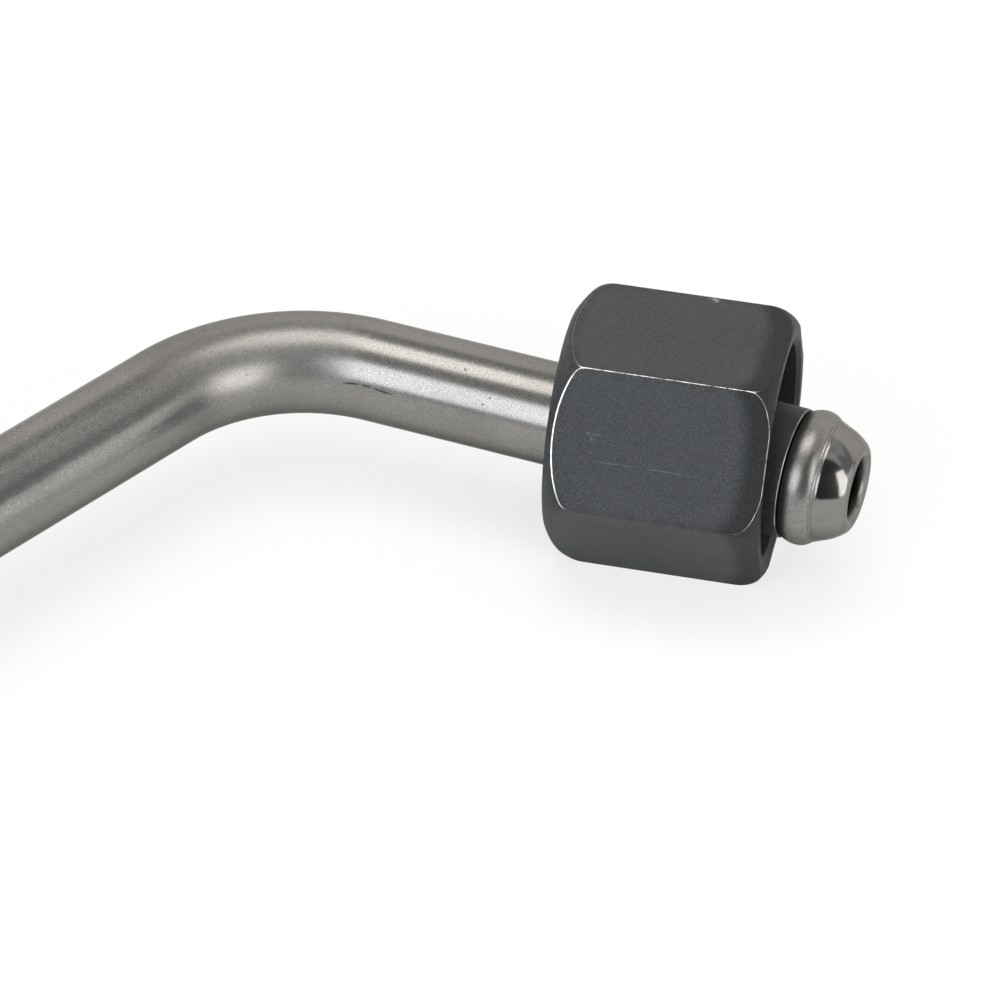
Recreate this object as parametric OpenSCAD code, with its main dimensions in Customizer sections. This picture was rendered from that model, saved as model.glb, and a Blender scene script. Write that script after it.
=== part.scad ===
/* [Tube] */
// Outside diameter of the tube
tube_od = 8; // [7.6:0.1:8]
// Wall thickness of the tube
tube_wall = 1.5; // [1:0.1:1.6]
// Radius of the bend, to the middle of the tube
bend_r = 15; // [12:0.5:25]
// Angle that the bend turns through, in degrees
bend_turn = 67; // [30:1:90]
// Straight length from the bend to the tip of end A
leg_a = 39.5; // [38:0.5:80]
// Straight length from the bend to the tip of end B
leg_b = 80; // [60:1:160]

/* [Ball nose] */
// Diameter of the ball that the nose is formed to
ball_d = 9.5; // [9.3:0.05:9.6]
// Radius of the rounded lip between the ball and the port
lip_r = 0.8; // [0.6:0.05:0.85]
// Diameter of the port in the tip
port_d = 4.3; // [3.6:0.1:4.6]
// Straight length of the port, measured from the tip
port_len = 4; // [3:0.25:6]
// Outside diameter of the bead behind the ball
bead_d = 10.5; // [10.1:0.05:10.5]
// Radius of the bead's round crest
bead_round = 1.5; // [1.3:0.05:1.7]
// Distance from the tip back to the crest of the bead
bead_back = 3.7; // [3.6:0.05:3.8]
// Distance from the tip back to the flat rear face of the bead
bead_rear = 4.85; // [4.75:0.05:4.95]

/* [Thrust sleeve] */
// Wall thickness of the sleeve
sleeve_wall = 0.85; // [0.7:0.05:0.9]
// Length of the sleeve
sleeve_len = 5; // [4:0.25:6]
// Room between the sleeve and the tube, on the radius
sleeve_room = 0.05; // [0.03:0.01:0.08]
// Gap between the sleeve and the bead
sleeve_gap = 0.15; // [0.1:0.05:0.3]

/* [Union nut] */
// Width across the flats of the hexagon
nut_flats = 19; // [19:0.5:22]
// Length of the nut
nut_len = 16.9; // [16.6:0.1:20]
// Thickness of the wall at the rear of the nut
nut_wall = 3; // [2.5:0.1:3]
// Diameter of the hole in the rear wall
nut_hole_d = 8.8; // [8.75:0.05:9]
// Outside diameter of the nut's thread
thread_d = 16; // [16:0.1:16.4]
// Pitch of the nut's thread
thread_pitch = 1.5; // [1:0.25:1.5]
// Plain length inside the nut's mouth, before the thread
mouth_len = 2.4; // [2.4:0.1:4]
// Distance that nut A stands back, from the tip to its rear wall
setback_a = 22.2; // [21.8:0.1:22.4]
// Distance that nut B stands back, from the tip to its rear wall
setback_b = 22.2; // [20:0.1:24]
// Angle that the loose nut A lies askew on the tube, in degrees
askew_a = 8.5; // [0:0.1:8.5]
// Angle that the loose nut B lies askew on the tube, in degrees
askew_b = 0; // [0:0.1:8.5]
// Sideways play that nut A has taken up in its rear hole
play_a = 0.06; // [0:0.01:0.06]

/* [Hidden] */
$fn = 96;
eps = 0.01;

tube_r = tube_od / 2;
bore_r = tube_r - tube_wall;
port_r = port_d / 2;
ball_r = ball_d / 2;
bead_r = bead_d / 2;

// The lip is a full round that touches the tip plane, the port wall and the ball
lip_at = port_r + lip_r;
ball_back = lip_r + sqrt((ball_r - lip_r) * (ball_r - lip_r) - lip_at * lip_at);
lip_touch = ball_back - (ball_back - lip_r) * ball_r / (ball_r - lip_r);
// Length of the taper from the port to the full bore
port_taper = 2;
// Low turned land between the ball and the bead
land_rise = 0.08;
land_front = 2.1;
land_mid = 2.4;

sleeve_bore_r = tube_r + sleeve_room;
sleeve_r = sleeve_bore_r + sleeve_wall;
sleeve_front = bead_rear + sleeve_gap;
sleeve_edge = 0.12;
sleeve_cone = 0.5;

// Hexagon corners, and the rounding of both ends of the nut
corner_r = nut_flats / sqrt(3);
rear_face_r = nut_flats * 0.463;
rear_depth = 1.75;
rear_round = 8;
front_face_r = nut_flats * 0.508;
front_depth = 1.4;
front_round = 3;
// Inside of the nut: the drilled thread, its run-out groove, the plain mouth and the seat
minor_r = (thread_d - thread_pitch) / 2;
groove_r = thread_d / 2 + 0.15;
groove_len = 1.6;
mouth_edge = 0.35;
mouth_r = thread_d / 2 + 0.35;
seat_r = 5;
seat_top = nut_wall + minor_r - seat_r;
hole_edge = 0.25;
// The nut's pivot is the middle of its rear wall, on the axis of the tube
pivot = nut_wall / 2;

// The tube's wall is a trace thinner round the bend, and both legs lap over its ends
bend_slim = 0.01;
bend_lap = 0.05;

// The part's origin is where the straight wall of port A begins, just inside the lip
bend_mid = [lip_r - leg_a, -bend_r, 0];

// Puts a shape drawn along +X with its tip at the origin onto end A or end B
module at_end_a() {
    translate([lip_r, 0, 0]) children();
}

module at_end_b() {
    translate(bend_mid) rotate([0, 0, bend_turn]) translate([-leg_b, bend_r, 0])
        rotate([0, 0, 180]) children();
}

// Turns a profile of radius and distance back from the tip into a round body on the X axis
module turned_back() {
    rotate([0, -90, 0]) rotate_extrude() children();
}

// Outline of the formed end: lip, ball, land and bead
module nose_outline() {
    translate([lip_at, lip_r]) circle(lip_r);
    intersection() {
        translate([0, ball_back]) circle(ball_r);
        union() {
            translate([0, lip_r]) square([ball_r, ball_back - lip_r]);
            translate([lip_at, lip_touch]) square([ball_r, ball_back - lip_touch]);
        }
    }
    translate([0, land_front]) square([ball_r - 2 * land_rise, bead_rear - land_front]);
    translate([0, land_mid]) square([ball_r - land_rise / 2, bead_rear - land_mid]);
    intersection() {
        translate([bead_r - bead_round, bead_back]) circle(bead_round);
        translate([0, bead_back - bead_round]) square([bead_r, bead_rear - bead_back + bead_round]);
    }
}

// Hole through the formed end: the port, its taper and the full bore
module port_outline() {
    translate([0, -1]) square([port_r, port_len + 1 + eps]);
    polygon([[0, port_len], [port_r, port_len], [bore_r, port_len + port_taper],
             [0, port_len + port_taper]]);
}

module formed_end(leg) {
    turned_back() difference() {
        union() {
            difference() {
                nose_outline();
                square([lip_at, lip_r]);
            }
            intersection() {
                translate([lip_at, lip_r]) circle(lip_r);
                square([lip_at + eps, lip_r + eps]);
            }
            translate([0, bead_rear - eps]) square([tube_r, leg - bead_rear + eps]);
        }
        port_outline();
        translate([0, port_len + port_taper - eps]) square([bore_r, leg]);
    }
}

module bend() {
    translate(bend_mid) rotate([0, 0, 90]) rotate_extrude(angle = bend_turn)
        translate([bend_r, 0]) difference() {
            circle(tube_r - bend_slim);
            circle(bore_r + bend_slim);
        }
}

module tube() {
    color([0.62, 0.60, 0.57]) union() {
        at_end_a() formed_end(leg_a + bend_lap);
        bend();
        at_end_b() formed_end(leg_b + bend_lap);
    }
}

// Sleeve that carries the nut's thrust to the back of the bead
module thrust_sleeve() {
    color([0.16, 0.17, 0.17]) turned_back() polygon([
        [sleeve_bore_r, sleeve_front],
        [sleeve_r - sleeve_edge, sleeve_front],
        [sleeve_r, sleeve_front + sleeve_edge],
        [sleeve_r, sleeve_front + sleeve_len - sleeve_cone],
        [sleeve_r - sleeve_cone, sleeve_front + sleeve_len],
        [sleeve_bore_r, sleeve_front + sleeve_len]
    ]);
}

// Middle of the arc that rounds an end of the nut, from its face out to the corners
function round_mid(face_r, depth, r) =
    let (run = corner_r - face_r, chord = norm([run, depth]), lift = sqrt(r * r - chord * chord / 4))
    [(face_r + corner_r) / 2 - depth / chord * lift, depth / 2 + run / chord * lift];

// Round envelope that cuts the corners of the hexagon at both ends
module nut_envelope() {
    rear_mid = round_mid(rear_face_r, rear_depth, rear_round);
    front_mid = round_mid(front_face_r, front_depth, front_round);
    rotate_extrude() {
        intersection() {
            translate(rear_mid) circle(rear_round);
            square([corner_r + 1, rear_mid[1]]);
        }
        intersection() {
            translate([front_mid[0], nut_len - front_mid[1]]) circle(front_round);
            translate([0, nut_len - front_mid[1]]) square([corner_r + 1, front_mid[1]]);
        }
        square([rear_face_r, nut_len]);
        translate([0, rear_mid[1] - eps])
            square([corner_r + 0.5, nut_len - rear_mid[1] - front_mid[1] + 2 * eps]);
    }
}

// Bore of the nut: rear hole, seat, run-out groove, thread and mouth
module nut_bore() {
    rotate_extrude() polygon([
        [0, -1],
        [nut_hole_d / 2 + hole_edge + 1, -1],
        [nut_hole_d / 2, hole_edge],
        [nut_hole_d / 2, nut_wall],
        [seat_r, nut_wall],
        [minor_r, seat_top],
        [groove_r, seat_top + groove_r - minor_r],
        [groove_r, seat_top + groove_r - minor_r + groove_len],
        [minor_r, seat_top + 2 * (groove_r - minor_r) + groove_len],
        [minor_r, nut_len - mouth_len - mouth_r + minor_r],
        [mouth_r, nut_len - mouth_len],
        [mouth_r, nut_len - mouth_edge],
        [mouth_r + mouth_edge + 1, nut_len + 1],
        [0, nut_len + 1]
    ]);
}

// Nut standing on its rear face, with a flat facing -X
module union_nut() {
    color([0.22, 0.23, 0.24]) difference() {
        intersection() {
            rotate([0, 0, 30]) cylinder(r = corner_r, h = nut_len, $fn = 6);
            nut_envelope();
        }
        nut_bore();
    }
}

// Lays the nut on one flat around the tube, askew about the middle of its rear wall
module nut_on_tube(setback, askew, play) {
    translate([-setback, play, 0]) rotate([0, 0, askew]) translate([-pivot, 0, 0])
        rotate([0, 90, 0]) union_nut();
}

module thrust_sleeve_a() { at_end_a() thrust_sleeve(); }
module thrust_sleeve_b() { at_end_b() thrust_sleeve(); }
module union_nut_a() { at_end_a() nut_on_tube(setback_a, askew_a, play_a); }
module union_nut_b() { at_end_b() nut_on_tube(setback_b, askew_b, 0); }

tube();
thrust_sleeve_a();
union_nut_a();
thrust_sleeve_b();
union_nut_b();
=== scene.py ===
"""A fuel line: a formed steel pipe with a thrust sleeve and a union nut at each end."""

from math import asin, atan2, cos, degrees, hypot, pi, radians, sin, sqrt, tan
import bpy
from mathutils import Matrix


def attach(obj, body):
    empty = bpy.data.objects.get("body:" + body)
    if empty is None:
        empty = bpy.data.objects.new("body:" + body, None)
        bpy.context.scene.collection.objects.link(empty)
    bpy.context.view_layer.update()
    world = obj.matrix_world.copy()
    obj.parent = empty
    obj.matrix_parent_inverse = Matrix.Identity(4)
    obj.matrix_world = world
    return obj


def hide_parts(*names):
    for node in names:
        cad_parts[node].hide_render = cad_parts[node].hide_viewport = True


bl_info = {
    "name": "Fuel Line",
    "version": (1, 0, 0),
    "blender": (4, 5, 0),
    "location": "3D View > Sidebar > Fuel Line",
    "description": "Builds the looks of a fuel pipe, its union nuts and its thrust sleeves",
    "category": "Object",
}

import bpy
import numpy as np
from mathutils import Matrix, Vector

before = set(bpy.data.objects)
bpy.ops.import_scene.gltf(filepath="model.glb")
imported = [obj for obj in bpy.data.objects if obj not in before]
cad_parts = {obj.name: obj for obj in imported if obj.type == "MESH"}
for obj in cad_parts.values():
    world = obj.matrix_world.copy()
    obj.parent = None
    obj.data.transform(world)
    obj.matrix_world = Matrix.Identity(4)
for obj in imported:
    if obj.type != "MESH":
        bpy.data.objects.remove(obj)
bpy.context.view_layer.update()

MM = 0.001
UP = (0.0, 0.0, 1.0)
WHITE = (1.0, 1.0, 1.0, 1.0)


# Sizes and colours that a user may change

def length(name, description, millimetres):
    """A length property whose default is given in millimetres."""
    return bpy.props.FloatProperty(
        name=name, description=description, default=millimetres * MM,
        min=0.0, precision=5, unit="LENGTH", subtype="DISTANCE",
    )


def angle(name, description, turn):
    """An angle property whose default is given in degrees."""
    return bpy.props.FloatProperty(
        name=name, description=description, default=radians(turn), unit="ROTATION", subtype="ANGLE",
    )


def amount(name, description, value):
    """A plain number property."""
    return bpy.props.FloatProperty(name=name, description=description, default=value, min=0.0)


def tint(name, description, colour):
    """A colour property."""
    return bpy.props.FloatVectorProperty(
        name=name, description=description, default=colour, size=3, min=0.0, max=1.0, subtype="COLOR",
    )


class FUELLINE_PG_pipe(bpy.types.PropertyGroup):
    """Sizes and finish of the formed pipe."""

    tube_d: length("Tube diameter", "Outside diameter of the tube", 8)
    bore_d: length("Bore diameter", "Inside diameter of the tube", 5)
    bend_r: length("Bend radius", "Radius of the bend, to the middle of the tube", 15)
    bend_turn: angle("Bend angle", "Angle that the bend turns through", 67)
    leg_a: length("Leg A", "Straight length from the bend to the tip of end A", 39.5)
    leg_b: length("Leg B", "Straight length from the bend to the tip of end B", 80)
    ball_d: length("Ball diameter", "Diameter of the ball nose", 9.5)
    lip_r: length("Lip radius", "Radius of the round lip at the port", 0.8)
    port_d: length("Port diameter", "Diameter of the port in the tip", 4.3)
    port_len: length("Port length", "Straight length of the port", 4)
    bead_d: length("Bead diameter", "Outside diameter of the bead", 10.5)
    bead_round: length("Bead round", "Radius of the bead's crest", 1.5)
    bead_back: length("Bead position", "Distance from the tip to the crest of the bead", 3.7)
    bead_rear: length("Bead rear", "Distance from the tip to the rear face of the bead", 4.85)
    bead_slope: length("Bead slope", "Radius of the bead's skin behind its crest", 2.2)
    sides: bpy.props.IntProperty(
        name="Sides", description="Facets round the tube", default=128, min=16, max=256)
    steel: tint("Steel", "Colour of the bright satin steel", (0.24, 0.233, 0.221))
    polish: amount("Nose roughness", "Roughness of the polished ball nose", 0.14)
    satin: amount("Satin roughness", "Roughness of the satin legs", 0.23)
    dull: amount("Dull roughness", "Roughness at the top of the bend", 0.36)


class FUELLINE_PG_nut(bpy.types.PropertyGroup):
    """Sizes and finish of the union nuts."""

    flats: length("Across flats", "Width across the flats of the hexagon", 19)
    height: length("Height", "Length of the nut", 16.9)
    hole_d: length("Rear hole", "Diameter of the hole in the rear wall", 8.8)
    wall: length("Rear wall", "Thickness of the rear wall", 3)
    corner: length("Corner round", "Radius on the six long edges", 0.35)
    crest_d: length("Thread crest", "Diameter inside the crests of the thread", 14.5)
    root_d: length("Thread root", "Diameter at the roots of the thread", 16)
    pitch: length("Thread pitch", "Distance from one thread crest to the next", 1.5)
    mouth_len: length("Mouth length", "Plain length inside the mouth", 2.4)
    setback: length("Setback", "Distance from the tip back to the middle of the rear wall", 22.2)
    askew: angle("Askew", "Angle that the loose nut A lies askew on the tube", 8.5)
    play: length("Play", "Sideways play that nut A has taken up", 0.06)
    roll_len: length("Roll-off length", "Length over which the flats fall away at the front", 2.3)
    roll_drop: length("Roll-off", "Depth by which the flats fall away at the front", 0.15)
    charcoal: tint("Phosphate", "Colour of the dark phosphate coat", (0.0345, 0.037, 0.039))
    worn: tint("Worn edge", "Colour of bare steel on worn edges", (0.72, 0.72, 0.71))


class FUELLINE_PG_sleeve(bpy.types.PropertyGroup):
    """Sizes and finish of the thrust sleeves."""

    bore_d: length("Sleeve bore", "Inside diameter of the sleeve", 8.1)
    outer_d: length("Sleeve diameter", "Outside diameter of the sleeve", 10.1)
    front: length("Sleeve front", "Distance from the tip to the front of the sleeve", 5)
    run: length("Sleeve length", "Length of the sleeve", 5)
    edge: length("Front edge", "Chamfer on the front edge", 0.12)
    cone: length("Rear cone", "Chamfer on the rear edge", 0.65)
    groove: length("Tool pitch", "Distance between the fine turned grooves", 0.16)
    coat: tint("Sleeve coat", "Colour of the dark coat on the sleeve", (0.013, 0.0145, 0.0145))


class FUELLINE_PG_stage(bpy.types.PropertyGroup):
    """Floor, lights and camera."""

    floor_z: length("Floor depth", "Depth of the floor below the axis of the tube", 9.5)
    floor_tint: tint("Floor", "Colour of the pale floor", (0.87, 0.87, 0.87))
    whiten: amount("Whiten", "Share of plain white that the camera sees in the floor", 0.7)
    ambient: amount("Ambient", "Strength of the even light from all round", 0.44)
    lens: bpy.props.FloatProperty(
        name="Lens", description="Focal length of the camera", default=187.2, min=1.0, unit="CAMERA")
    roll: angle("Roll", "Roll of the camera", -1.075)


# Nodes written as Python

class Wire:
    """The output of a node; sums on it add Math nodes."""

    def __init__(self, nodes, socket):
        self.nodes = nodes
        self.socket = socket

    def _math(self, operation, first, second=None):
        values = {0: first} if second is None else {0: first, 1: second}
        return self.nodes.add("ShaderNodeMath", values, operation=operation)

    def __add__(self, other):
        return self._math("ADD", self, other)

    __radd__ = __add__

    def __sub__(self, other):
        return self._math("SUBTRACT", self, other)

    def __rsub__(self, other):
        return self._math("SUBTRACT", other, self)

    def __mul__(self, other):
        return self._math("MULTIPLY", self, other)

    __rmul__ = __mul__

    def __truediv__(self, other):
        return self._math("DIVIDE", self, other)

    def __pow__(self, other):
        return self._math("POWER", self, other)

    def __rpow__(self, other):
        return self._math("POWER", other, self)

    def __abs__(self):
        return self._math("ABSOLUTE", self)

    def least(self, other):
        """The smaller of the two."""
        return self._math("MINIMUM", self, other)

    def most(self, other):
        """The larger of the two."""
        return self._math("MAXIMUM", self, other)

    def rise(self, low, high):
        """0 below low, 1 above high, and smooth between; falls where high is below low."""
        return self.nodes.add(
            "ShaderNodeMapRange", {"Value": self, "From Min": low, "From Max": high},
            interpolation_type="SMOOTHSTEP",
        )

    def band(self, middle, half, soft):
        """1 within half of the middle, falling to 0 over soft."""
        return abs(self - middle).rise(half + soft, half)


class Nodes:
    """A node tree that grows by one method."""

    def __init__(self, tree):
        self.tree = tree

    def add(self, kind, values=None, out=0, **settings):
        """Adds a node: its settings first, then its sockets, by name or number."""
        node = self.tree.nodes.new(kind)
        for name, value in settings.items():
            setattr(node, name, value)
        for key, value in (values or {}).items():
            if isinstance(value, Wire):
                self.tree.links.new(value.socket, node.inputs[key])
            else:
                node.inputs[key].default_value = value
        return Wire(self, node.outputs[out]) if len(node.outputs) else None

    def split(self, vector):
        """The three numbers of a vector."""
        first = self.add("ShaderNodeSeparateXYZ", {0: vector})
        outputs = first.socket.node.outputs
        return [Wire(self, outputs[i]) for i in range(3)]

    def join(self, x, y, z):
        """A vector from three numbers."""
        return self.add("ShaderNodeCombineXYZ", {0: x, 1: y, 2: z})

    def vector(self, operation, first, second, out=0):
        """One step of vector maths."""
        return self.add("ShaderNodeVectorMath", {0: first, 1: second}, out=out, operation=operation)

    def drawn_out(self, place, share):
        """A place whose first number shrinks, so that a pattern on it is long along the pipe."""
        return self.vector("MULTIPLY", place, (share, 1.0, 1.0))

    def blend(self, factor, first, second, way="MIX"):
        """Mixes two colours."""
        colours = [c if isinstance(c, Wire) else (*c, 1.0) for c in (first, second)]
        return self.add(
            "ShaderNodeMix", {0: factor, 6: colours[0], 7: colours[1]}, out=2,
            data_type="RGBA", blend_type=way,
        )

    def noise(self, place, scale, detail=3.0, rough=0.5):
        """Soft noise from 0 to 1."""
        return self.add(
            "ShaderNodeTexNoise",
            {"Vector": place, "Scale": scale, "Detail": detail, "Roughness": rough},
        )

    def cells(self, place, scale):
        """Distance to the nearest of many scattered points."""
        return self.add("ShaderNodeTexVoronoi", {"Vector": place, "Scale": scale})

    def bump(self, height, distance, strength, under=None):
        """The normal of a relief, on top of another normal if there is one."""
        values = {"Height": height, "Distance": distance, "Strength": strength}
        if under is not None:
            values["Normal"] = under
        return self.add("ShaderNodeBump", values)

    def store(self, geometry, name, value):
        """Keeps a number on every point of a geometry, under a name."""
        return self.add(
            "GeometryNodeStoreNamedAttribute", {"Geometry": geometry, "Name": name, "Value": value},
            data_type="FLOAT", domain="POINT",
        )


def new_material(name):
    """An empty node material and its tree."""
    material = bpy.data.materials.new(name)
    material.use_nodes = True
    material.node_tree.nodes.clear()
    return material, Nodes(material.node_tree)


def finish_material(nodes, shader):
    """Ends a material with its shader."""
    nodes.add("ShaderNodeOutputMaterial", {"Surface": shader})


def scaled(values, factor):
    """A colour or a point, times a number."""
    return tuple(value * factor for value in values)


def scratch(nodes, place, start, end, half, soft):
    """1 along a straight scratch, fainter at its ends; points and widths in metres."""
    a = Vector(start)
    run = Vector(end) - a
    back = nodes.vector("SUBTRACT", place, tuple(a))
    along = nodes.vector("DOT_PRODUCT", back, tuple(run / run.length_squared), out=1)
    held = along.most(0.0).least(1.0)
    near = nodes.add("ShaderNodeVectorMath", {0: tuple(run), 3: held}, operation="SCALE")
    off = nodes.vector("DISTANCE", back, near, out=1)
    ends = held.rise(0.0, 0.25) * held.rise(1.0, 0.6)
    return off.rise(half + soft, half * 0.4) * (0.25 + ends * 0.75)


def scratches(nodes, place, points, half, soft):
    """Scratches from each point to the next, with points and widths in mm."""
    stops = [scaled(point, MM) for point in points]
    mark = scratch(nodes, place, stops[0], stops[1], half * MM, soft * MM)
    for start, end in zip(stops[1:], stops[2:]):
        mark = mark.most(scratch(nodes, place, start, end, half * MM, soft * MM))
    return mark


# Places along the pipe

def pipe_length(p):
    """Length of the tube's middle line from tip to tip."""
    return p.leg_a + p.bend_r * p.bend_turn + p.leg_b


def along_pipe(p, run):
    """Point on the middle of the tube at a distance from tip A, and the way on."""
    bend = p.bend_r * p.bend_turn
    turn = min(max(run - p.leg_a, 0.0), bend) / p.bend_r
    way = Vector((-cos(turn), -sin(turn), 0.0))
    point = Vector((p.lip_r - min(run, p.leg_a), 0.0, 0.0))
    point += p.bend_r * Vector((-sin(turn), cos(turn) - 1.0, 0.0))
    point += way * max(run - p.leg_a - bend, 0.0)
    return point, way


def arc(middle, radius, start, end, count):
    """Points on an arc, with angles in degrees from the +back axis towards +radius."""
    steps = np.radians(np.linspace(start, end, count))
    return [(middle[0] + radius * cos(t), middle[1] + radius * sin(t)) for t in steps]


def beside(back, radius, steps):
    """Points beside a point, by steps in mm back and outwards."""
    return [(back + x * MM, radius + y * MM) for x, y in steps]


def in_order(skin):
    """The skin with each point at least a trace behind the one before it."""
    trace = 0.002 * MM
    ordered = []
    for back, radius in skin:
        least = ordered[-1][0] + trace if ordered else 0.0
        ordered.append((max(back, least), radius))
    return ordered


def ball_skin(p, land_front, land_r):
    """Outside of the lip and the ball, down to the front of the land."""
    ball_r = p.ball_d / 2
    lip_at = p.port_d / 2 + p.lip_r
    ball_back = p.lip_r + sqrt((ball_r - p.lip_r) ** 2 - lip_at ** 2)
    lean = degrees(asin(lip_at / (ball_r - p.lip_r)))
    end = 180.0 - degrees(asin(land_r / ball_r))
    lip = arc((p.lip_r, lip_at), p.lip_r, 180, 180 - lean, 18)
    ball = arc((ball_back, 0), ball_r, 180 - lean, end, 26)[1:]
    foot = min(ball_back - sqrt(ball_r ** 2 - land_r ** 2), land_front)
    return lip + [q for q in ball if q[0] < land_front] + [(foot, land_r)]


def bead_skin(p, foot_r):
    """Outside of the bead, from its front foot over its crest to the plain tube."""
    rear_edge = 0.06 * MM
    front = (p.bead_back, p.bead_d / 2 - p.bead_round)
    slope = (p.bead_back, p.bead_d / 2 - p.bead_slope)
    foot = 180.0 - degrees(asin((foot_r - front[1]) / p.bead_round))
    rear = degrees(asin((p.bead_rear - rear_edge - p.bead_back) / p.bead_slope))
    skin = arc(front, p.bead_round, foot, 90, 26) + arc(slope, p.bead_slope, 90, 90 - rear, 16)[1:]
    skin += beside(p.bead_rear, skin[-1][1], [(-0.015, -0.06), (0, -0.14)])
    return skin + beside(p.bead_rear, p.tube_d / 2, [(0.02, 0.1), (0.06, 0.02), (0.14, 0)])


def nose_skin(p):
    """Outside of the formed end, with the double line of its land: distance behind the tip, radius."""
    front = 2.1 * MM
    mid = 2.4 * MM
    land = 0.08 * MM
    low = p.ball_d / 2 - 2 * land
    high = p.ball_d / 2 - land / 2
    skin = ball_skin(p, front, low)
    skin += beside(front, low, [(0, 0), (0.04, 0.03), (0.05, 0.03)])
    skin += beside(mid, low, [(-0.07, 0.03), (-0.06, 0.03), (-0.04, 0), (-0.01, 0)])
    skin += beside(mid, high, [(0, 0), (0.01, 0), (0.12, 0), (0.13, 0), (0.14, -0.02)])
    return in_order(skin + bead_skin(p, high))


def port_skin(p):
    """Inside of the formed end: distance behind the tip, radius."""
    taper = 2 * MM
    skin = arc((p.lip_r, p.port_d / 2 + p.lip_r), p.lip_r, 180, 270, 14)
    return in_order(skin + [(p.port_len, p.port_d / 2), (p.port_len + taper, p.bore_d / 2)])


def both_ends(p, skin, radius):
    """Stations from tip A to tip B: the skin at each end and the plain tube between."""
    whole = pipe_length(p)
    bend = p.bend_r * p.bend_turn
    clear = 1.2 * MM
    plain = list(np.linspace(skin[-1][0] + clear, p.leg_a, 24)[:-1])
    plain += list(np.linspace(p.leg_a, p.leg_a + bend, 72)[:-1])
    plain += list(np.linspace(p.leg_a + bend, whole - skin[-1][0] - clear, 44))
    stations = list(skin) + [(run, radius) for run in plain]
    return stations + [(whole - back, r) for back, r in reversed(skin)]


# Geometry Nodes

def new_tree(name, inputs):
    """A geometry tree with named inputs; returns it, its nodes and its input wires."""
    tree = bpy.data.node_groups.new(name, "GeometryNodeTree")
    for title, kind in [("Geometry", "NodeSocketGeometry")] + inputs:
        tree.interface.new_socket(title, in_out="INPUT", socket_type=kind)
    tree.interface.new_socket("Geometry", in_out="OUTPUT", socket_type="NodeSocketGeometry")
    nodes = Nodes(tree)
    entry = nodes.add("NodeGroupInput").socket.node
    wires = {s.name: Wire(nodes, s) for s in entry.outputs if s.name}
    return tree, nodes, wires


def close_tree(nodes, geometry, material):
    """Realizes the geometry, gives it its material and ends the tree."""
    real = nodes.add("GeometryNodeRealizeInstances", {"Geometry": geometry})
    dressed = nodes.add("GeometryNodeSetMaterial", {"Geometry": real, "Material": material})
    nodes.add("NodeGroupOutput", {0: dressed})


def run_tree(tree, source, values):
    """Sets the inputs of a tree on an object, and returns its result as a plain mesh."""
    modifier = source.modifiers.new(tree.name, "NODES")
    modifier.node_group = tree
    for item in tree.interface.items_tree:
        if item.in_out == "INPUT" and item.name in values:
            modifier[item.identifier] = values[item.name]
    source.update_tag()
    bpy.context.view_layer.update()
    graph = bpy.context.evaluated_depsgraph_get()
    mesh = bpy.data.meshes.new_from_object(source.evaluated_get(graph), depsgraph=graph)
    source.modifiers.remove(modifier)
    bpy.data.objects.remove(source)
    return mesh


def pipe_tree():
    """Sweeps a ring along the skins of the pipe and keeps each point's straightened place."""
    tree, nodes, given = new_tree("Formed pipe", [
        ("Sides", "NodeSocketInt"), ("Weld", "NodeSocketFloat"), ("Material", "NodeSocketMaterial")])
    run = nodes.add("GeometryNodeSplineParameter", out=1)
    stored = nodes.store(given["Geometry"], "run", run)
    ring = nodes.add("GeometryNodeCurvePrimitiveCircle", {"Resolution": given["Sides"], "Radius": 1.0})
    turn = nodes.add("GeometryNodeSplineParameter", out=0) * (2 * pi)
    ring = nodes.store(ring, "ring_x", nodes.add("ShaderNodeMath", {0: turn}, operation="COSINE"))
    ring = nodes.store(ring, "ring_y", nodes.add("ShaderNodeMath", {0: turn}, operation="SINE"))
    index = nodes.add("GeometryNodeInputIndex")
    outside = nodes.add("FunctionNodeCompare", {2: index, 3: 0}, data_type="INT", operation="EQUAL")
    parts = nodes.add(
        "GeometryNodeSeparateGeometry", {"Geometry": stored, "Selection": outside}, domain="CURVE")
    bore = Wire(nodes, parts.socket.node.outputs[1])
    skins = []
    for line, inner in ((parts, 0.0), (bore, 1.0)):
        radius = nodes.add("GeometryNodeInputRadius")
        skin = nodes.add(
            "GeometryNodeCurveToMesh", {"Curve": line, "Profile Curve": ring, "Scale": radius})
        skins.append(nodes.store(skin, "bore", inner))
    flipped = nodes.add("GeometryNodeFlipFaces", {"Mesh": skins[1]})
    both = nodes.add("GeometryNodeJoinGeometry", {0: skins[0]})
    nodes.tree.links.new(flipped.socket, both.socket.node.inputs[0])
    welded = nodes.add("GeometryNodeMergeByDistance", {"Geometry": both, "Distance": given["Weld"]})
    smooth = nodes.add("GeometryNodeSetShadeSmooth", {"Geometry": welded, "Shade Smooth": True})
    close_tree(nodes, smooth, given["Material"])
    return tree


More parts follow.
